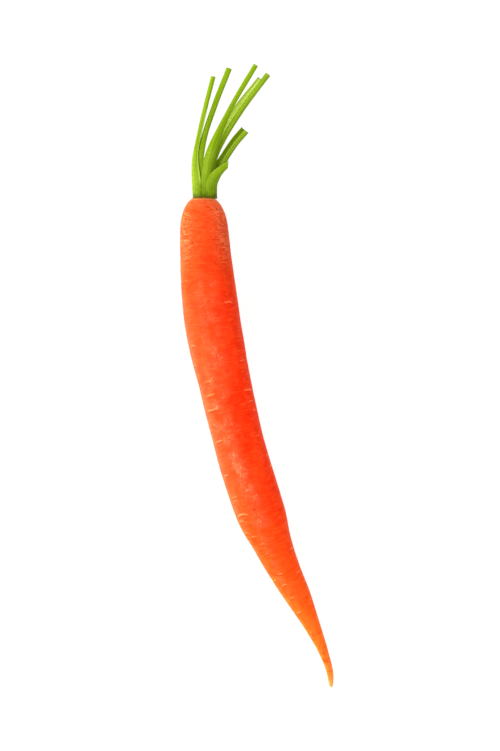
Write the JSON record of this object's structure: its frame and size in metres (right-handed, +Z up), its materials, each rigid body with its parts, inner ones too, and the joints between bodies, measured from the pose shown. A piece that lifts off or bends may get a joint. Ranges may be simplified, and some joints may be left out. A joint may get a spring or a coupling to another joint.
{
  "type": "carrot",
  "caption": "Whole fresh carrot: a long, bowed orange root tapering to a thin tail, lying on its side, with its green leaf stalks trimmed short.",
  "frame": {"origin": "on the resting surface, under the middle of the bounding box", "axes": "+Y along the root from its tail towards the crown and the leaf stalks, +X to the side the leaf stalks lean to, +Z up from the resting surface"},
  "size_m": [0.0682, 0.2884, 0.0257],
  "materials": {
    "carrot_skin": "satin, fine crosswise wrinkles and scars",
    "leaf_stalk": "satin, ribbed lengthwise",
    "pale_leaf_stalk": "satin, pale inner side"
  },
  "bodies": {
    "root": {"taproot": "carrot_skin", "leaf_stalk_left": "leaf_stalk", "leaf_stalk_inner_left": "leaf_stalk", "leaf_stalk_middle": "leaf_stalk", "leaf_stalk_pale": "pale_leaf_stalk", "leaf_stalk_right": "leaf_stalk", "leaf_stub_channelled": "leaf_stalk", "leaf_stub_front": "leaf_stalk"}
  },
  "joints": []
}
